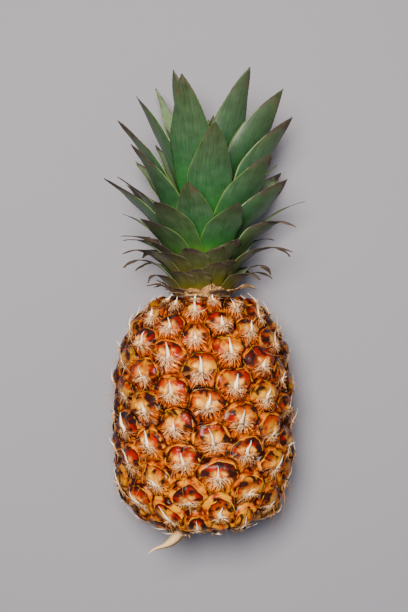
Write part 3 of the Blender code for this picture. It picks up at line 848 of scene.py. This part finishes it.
def leaf_skin():
    """Living pineapple leaf: thick wax over fibres that run its whole length, dusted
    with pale scales, so it looks satin and greyish; dried parts are brown and dull."""
    material, tree = new_material("waxy_leaf")
    here = node(tree, "TexCoord")["Object"]
    place = node(tree, "Attribute", attribute_name="leaf_place")["Vector"]
    across, share, lot = node(tree, "SeparateXYZ", {0: place})
    span = node(tree, "Attribute", attribute_name="leaf_span")["Vector"]
    state = node(tree, "Attribute", attribute_name="leaf_state")["Vector"]
    dryness, age, inner = node(tree, "SeparateXYZ", {0: state})

    # Green: pale yellow-green where the foot was shaded, deepest in the lower middle.
    young = node(tree, "ValToRGB", {0: share}, stops=(
        (0.0, "#8c9a14"), (0.14, "#4c8418"), (0.30, "#186824"), (0.55, "#245a2e"),
        (0.80, "#325028"), (1.0, "#384218")))[0]
    olive = node(tree, "ValToRGB", {0: share}, stops=(
        (0.0, "#6c5a14"), (0.22, "#56540e"), (0.55, "#4a421c"), (1.0, "#483620")))[0]
    green = node(tree, "Mix", {0: age, 6: young, 7: olive}, data_type="RGBA")[2]

    # Pale scales in streaks 0.7 mm wide and 20 times as long, mostly on the upper part.
    streak = node(tree, "VectorMath", {0: span, 1: (1.0, 0.05, 1.0)}, operation="MULTIPLY")[0]
    streak = node(tree, "VectorMath", {0: streak, 1: lot}, operation="ADD")[0]
    fibres = node(tree, "TexNoise", {"Vector": streak, "Scale": 1.5, "Detail": 4.0,
                                     "Roughness": 0.6})[0]
    bloom = node(tree, "MapRange", {0: fibres, 1: 0.34, 2: 0.72})[0]
    upper = node(tree, "MapRange", {0: share, 1: 0.12, 2: 0.60})[0]
    bloom = node(tree, "Math", {0: bloom, 1: upper}, operation="MULTIPLY")[0]
    bloom = node(tree, "Math", {0: bloom, 1: 0.48}, operation="MULTIPLY")[0]
    green = node(tree, "Mix", {0: bloom, 6: green, 7: "#627563"}, data_type="RGBA")[2]
    green = node(tree, "Mix", {0: inner, 6: green, 7: "#8fae7c"}, data_type="RGBA")[2]

    # The margin is a thin yellow-green cord that carries the teeth.
    aside = node(tree, "Math", {0: across}, operation="ABSOLUTE")[0]
    margin = node(tree, "MapRange", {0: aside, 1: 0.95, 2: 0.99})[0]
    fresh = node(tree, "MapRange", {0: age, 1: 0.0, 2: 0.7, 3: 0.75, 4: 0.0})[0]
    margin = node(tree, "Math", {0: margin, 1: fresh}, operation="MULTIPLY")[0]
    green = node(tree, "Mix", {0: margin, 6: green, 7: "#93b038"}, data_type="RGBA")[2]

    # Drying runs through purple-brown to grey-brown, ahead along single fibres.
    ahead = node(tree, "Math", {0: fibres, 1: 0.5}, operation="SUBTRACT")[0]
    ahead = node(tree, "Math", {0: ahead, 1: 0.9, 2: dryness}, operation="MULTIPLY_ADD")[0]
    withered = node(tree, "ValToRGB", {0: ahead}, stops=(
        (0.0, "#54542a"), (0.30, "#54482c"), (0.55, "#403028"), (0.80, "#2e221c"),
        (1.0, "#4e3c28")))[0]
    withered = node(tree, "Mix", {0: bloom, 6: withered, 7: "#5e5246"}, data_type="RGBA")[2]
    part = node(tree, "MapRange", {0: ahead, 1: 0.08, 2: 0.55})[0]
    colour = node(tree, "Mix", {0: part, 6: green, 7: withered}, data_type="RGBA")[2]

    blotch = node(tree, "TexNoise", {"Vector": here, "Scale": 1 / (6.25 * MM), "Detail": 3.0})[0]
    blotch = node(tree, "MapRange", {0: blotch, 1: 0.30, 2: 0.70, 3: 0.42, 4: 0.64})[0]
    colour = node(tree, "VectorMath", {0: colour, 3: blotch}, operation="SCALE")[0]

    rough = node(tree, "MapRange", {0: part, 3: 0.44, 4: 0.80})[0]
    bump = node(tree, "Bump", {"Height": fibres, "Strength": 0.30, "Distance": 0.25 * MM})[0]
    shader = node(tree, "BsdfPrincipled", {
        "Base Color": colour, "Roughness": rough, "Normal": bump, "IOR": 1.45})[0]
    node(tree, "OutputMaterial", {0: shader})
    return material


def straw_leaf():
    """A leaf that has dried through: stiff tan paper with brown streaks, all matte."""
    material, tree = new_material("dried_leaf")
    here = node(tree, "TexCoord")["Object"]
    span = node(tree, "Attribute", attribute_name="leaf_span")["Vector"]
    place = node(tree, "Attribute", attribute_name="leaf_place")["Vector"]
    lot = node(tree, "SeparateXYZ", {0: place})[2]
    streak = node(tree, "VectorMath", {0: span, 1: (1.0, 0.06, 1.0)}, operation="MULTIPLY")[0]
    streak = node(tree, "VectorMath", {0: streak, 1: lot}, operation="ADD")[0]
    fibres = node(tree, "TexNoise", {"Vector": streak, "Scale": 1.8, "Detail": 4.0})[0]
    tan = node(tree, "ValToRGB", {0: fibres}, stops=(
        (0.30, "#5b3d1e"), (0.45, "#a07040"), (0.58, "#d0a068"), (0.72, "#f0cc98")))[0]
    old = node(tree, "MapRange", {0: lot, 1: 0.45, 2: 0.60})[0]
    colour = node(tree, "Mix", {0: old, 6: tan, 7: "#4c3420"}, data_type="RGBA")[2]
    stain = node(tree, "TexNoise", {"Vector": here, "Scale": 1 / (7.14 * MM), "Detail": 3.0})[0]
    stain = node(tree, "MapRange", {0: stain, 1: 0.32, 2: 0.68, 3: 0.65, 4: 1.15})[0]
    colour = node(tree, "VectorMath", {0: colour, 3: stain}, operation="SCALE")[0]
    bump = node(tree, "Bump", {"Height": fibres, "Strength": 0.6, "Distance": 0.3 * MM})[0]
    shader = node(tree, "BsdfPrincipled", {
        "Base Color": colour, "Roughness": 0.8, "Normal": bump, "IOR": 1.5})[0]
    node(tree, "OutputMaterial", {0: shader})
    return material


living = leaf_skin()
dried = straw_leaf()
for number in range(LEAF_COUNT):
    blade = make_leaf(f"leaf_blade_{number + 1:02d}", number, living)
    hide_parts(f"crown_leaf_{number + 1:02d}")

# Sixteen more old leaves stand between the lowest ones, in the gaps of their spiral.
for number in range(16):
    make_leaf(f"old_leaf_{number + 1:02d}", number + 0.5, living, 111)


# ---------------------------------------------------------------- Scales at the neck
# Between the lowest leaves and the fruit sit papery scales, the dried feet of the first
# leaves that the crown made.  They are short and broad, and torn at the end; away from
# the front every other one is long and narrow.

NECK_SCALES = 28
SCALE_ROWS = 20
SCALE_COLUMNS = 8
chance = np.random.default_rng(3)


def make_scale(name, turn, foot_radius, foot_height, length, width, leans):
    """A torn scale; leans are those of its foot and tip from the axis, in degrees."""
    share = np.linspace(0, 1, SCALE_ROWS + 1)
    lean = np.radians(leans[0] + (leans[1] - leans[0]) * share)
    radius = foot_radius + np.cumsum(np.sin(lean)) * length / SCALE_ROWS
    height = foot_height + np.cumsum(np.cos(lean)) * length / SCALE_ROWS
    half = np.maximum(width / 2 * (1 - share ** 2.2) ** 0.8, 0.3 * MM)
    across = np.linspace(-1, 1, SCALE_COLUMNS + 1)[None, :]
    wave = 1.0 * MM * np.sin(share[:, None] * 6 + across * 4 + turn * 5)
    ragged = chance.uniform(0, 0.34, SCALE_COLUMNS + 1) * smooth(0.5, 1.0, share)[:, None]
    reach = radius[:, None] + wave * share[:, None] - ragged * length * np.sin(lean[-1])
    heights = height[:, None] - ragged * length * np.cos(lean[-1])
    turns = turn + across * half[:, None] / np.maximum(radius[:, None], 8 * MM)
    grid = crown_point(turns, reach, heights)
    flat = np.ones(grid.shape[:2])
    add_leaf(name, grid, 0.3 * MM * flat, flat, 1.0, half, dried)


for i in range(NECK_SCALES):
    turn = math.radians(GOLDEN_TURN * i + chance.normal(0, 6))
    long = math.cos(turn) < 0.6 and i % 2
    length = (chance.uniform(13, 22) if long else chance.uniform(7, 11)) * MM
    width = (chance.uniform(4, 8) if long else chance.uniform(11, 17)) * MM
    make_scale(f"neck_scale_{i + 1:02d}", turn, 16.6 * MM + 0.05 * MM * i,
               0.4 * MM - 0.1 * MM * (i % 3), length, width,
               (chance.uniform(25, 50), chance.uniform(45, 120)))


# ---------------------------------------------------------------- The crown's stem
# The short woody stem that carries the leaves, ringed with their scars.  It is pale and
# fibrous, and only its foot shows, between the scales of the neck.

STEM_SCARS = 15


def lathe(name, sides, profile, material):
    """A closed round body about the fruit's axis, slightly uneven, from pairs of a height
    above the fruit's base and a radius."""
    points, faces = [], []
    for height, radius in profile:
        for i in range(sides):
            turn = 2 * math.pi * i / sides
            uneven = 1 + 0.02 * math.sin(7 * turn + height * 900) + 0.012 * math.sin(17 * turn)
            points.append((AXIS_X + radius * uneven * math.sin(turn), BASE_Y + height,
                           AXIS_Z + radius * uneven * math.cos(turn)))
    for ring in range(len(profile) - 1):
        for i in range(sides):
            j = (i + 1) % sides
            faces.append((ring * sides + i, ring * sides + j,
                          (ring + 1) * sides + j, (ring + 1) * sides + i))
    faces.append(tuple(range(sides))[::-1])
    faces.append(tuple(range((len(profile) - 1) * sides, len(profile) * sides)))
    made = make_object(name, points, faces, material)
    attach(made, "root")
    return made


def woody_fibre():
    """Cut or scarred stem: pale, porous, fibrous wood, so it is matte all over."""
    material, tree = new_material("stem_wood")
    here = node(tree, "TexCoord")["Object"]
    bundles = node(tree, "TexVoronoi", {"Vector": here, "Scale": 1 / (1.11 * MM)})["Distance"]
    bundles = node(tree, "MapRange", {0: bundles, 1: 0.12, 2: 0.45})[0]
    rot = node(tree, "TexNoise", {"Vector": here, "Scale": 1 / (4.55 * MM), "Detail": 4.0})[0]
    pith = node(tree, "ValToRGB", {0: rot}, stops=(
        (0.32, "#4b311b"), (0.50, "#8e6b43"), (0.70, "#c9a878")))[0]
    colour = node(tree, "Mix", {0: bundles, 6: "#5a3b20", 7: pith}, data_type="RGBA")[2]
    bump = node(tree, "Bump", {"Height": bundles, "Strength": 0.6, "Distance": 0.3 * MM})[0]
    shader = node(tree, "BsdfPrincipled", {
        "Base Color": colour, "Roughness": 0.85, "Normal": bump})[0]
    node(tree, "OutputMaterial", {0: shader})
    return material


wood = woody_fibre()
profile = []
for i in range(2 * STEM_SCARS + 1):
    share = i / (2 * STEM_SCARS)
    radius = STEM_FOOT_RADIUS + (STEM_TIP_RADIUS - STEM_FOOT_RADIUS) * share
    scar = 0.5 * MM if i % 2 else 0.0
    profile.append((FRUIT_LENGTH + 0.3 * MM + share * (STEM_LENGTH - 0.6 * MM), radius - scar))
stem = lathe("crown_core", 48, profile, wood)
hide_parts("crown_stem")


# ---------------------------------------------------------------- The base
# The stub of the cut stalk, sunk between the last eyes, with its fibres showing at the
# cut; and one dry bract beside it, a tan papery straw that still hangs on.

stub = lathe("stalk_stub", 56, [
    (-1.75 * MM, 6.0 * MM), (-1.8 * MM, 8.0 * MM), (-1.7 * MM, 9.6 * MM),
    (-1.2 * MM, 10.3 * MM), (0.5 * MM, 10.4 * MM), (2.4 * MM, 10.5 * MM)], wood)
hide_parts("cut_stalk")

BRACT_ROWS = 22
share = np.linspace(0, 1, BRACT_ROWS)
foot = np.array([AXIS_X - 10.5 * MM, BASE_Y + 1.2 * MM, AXIS_Z + 15.0 * MM])
aim = np.array([-0.80, -0.58, -0.10])
line = foot + aim * (share[:, None] * 29 * MM)
line[:, 2] -= 2.2 * MM * share ** 2
line[:, 0] += 1.1 * MM * np.sin(share * 5)
line[:, 1] += 0.8 * MM * np.sin(share * 9)
wide = 3.6 * (0.55 + 0.45 * np.sin(math.pi * np.minimum(share * 1.6, 1))) * (1 - share ** 2.4) + 0.1
straw = dry_fibre("straw_bract", "#8a6242", "#d3ad7c", "#e8cfa4", 0.7, 0.75)
bract = add_blades("base_bract", [line], [wide], [0.9 * (1 - share) + 0.2], [0.75], straw)
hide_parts("dry_base_bract")


# ---------------------------------------------------------------- Loose hairs
# Long single fibres that have torn loose from the bracts but still hang on at one end.
# They stand off the fruit's upper side and break its outline; a longer one stands out
# beside the base.

HAIR_COUNT = 130
HAIR_ROWS = 14
share = np.linspace(0, 1, HAIR_ROWS)
hairs = []
for i in range(HAIR_COUNT):
    turn = chance.uniform(-math.pi, math.pi) * 0.62
    at = chance.uniform(-40, 72)
    bend = chance.normal(0, 0.05) * share + chance.normal(0, 0.08) * share ** 2
    drop = chance.uniform(1, 9) * share + chance.normal(0, 3) * share ** 2
    hairs.append(on_barrel(turn + bend, at + drop,
                           (2.0 + chance.uniform(1, 12) * share ** 1.3) * MM))
long_one = np.stack([AXIS_X - (33 + 25 * share) * MM, BASE_Y + (3 + 11 * share ** 1.5) * MM,
                     AXIS_Z + (5 - 9 * share + 6 * np.sin(math.pi * share)) * MM], axis=-1)
hairs.append(long_one)
wide = np.broadcast_to(0.16 * (1.05 - share), (len(hairs), HAIR_ROWS))
hair = dry_fibre("loose_hair", "#8c4c14", "#b87c34", "#d8a868", 0.6, 0.6)
add_blades("loose_hairs", hairs, wide, wide, np.zeros(len(hairs)), hair)


# ---------------------------------------------------------------- Floor, light and camera
# A plain pale floor under the fruit, a soft light from the upper left, as from a window,
# a faint one from the right, and a weak even light from all round.

FLOOR_REACH = 40.0


def plain_floor():
    """Pale matte paint: neutral, so that it does not tint the fruit."""
    material, tree = new_material("pale_floor")
    shader = node(tree, "BsdfPrincipled", {"Base Color": "#7e7e8a", "Roughness": 0.9})[0]
    node(tree, "OutputMaterial", {0: shader})
    return material


def soft_light(name, place, size, power, colour):
    """A soft round lamp, turned towards the fruit's middle."""
    data = bpy.data.lights.new(name, "AREA")
    data.shape = "DISK"
    data.size = size
    data.energy = power
    data.color = linear(colour)[:3]
    lamp = bpy.data.objects.new(name, data)
    lamp.location = place
    aim = Vector((AXIS_X, 0.0, AXIS_Z)) - Vector(place)
    lamp.rotation_euler = aim.to_track_quat("-Z", "Y").to_euler()
    bpy.context.scene.collection.objects.link(lamp)


corners = [(FLOOR_REACH * x, FLOOR_REACH * y, 0.0) for x, y in ((-1, -1), (1, -1), (1, 1), (-1, 1))]
floor = make_object("floor", corners, [(0, 1, 2, 3)], plain_floor())

soft_light("window", (-0.10, 0.17, 1.00), 0.34, 28.0, "#fff4e4")
soft_light("bounce", (0.60, -0.20, 0.80), 0.80, 1.0, "#eef2ff")
world = bpy.data.worlds.new("room")
world.use_nodes = True
world.node_tree.nodes["Background"].inputs["Color"].default_value = linear("#dcdfe4")
world.node_tree.nodes["Background"].inputs["Strength"].default_value = 0.34
bpy.context.scene.world = world

view = bpy.data.cameras.new("camera")
view.lens = 72.3
view.sensor_width = 36
camera = bpy.data.objects.new("camera", view)
camera.location = (AXIS_X + 0.6 * MM, CROWN_Y - 5.7 * MM, AXIS_Z + 780 * MM)
bpy.context.scene.collection.objects.link(camera)
bpy.context.scene.camera = camera
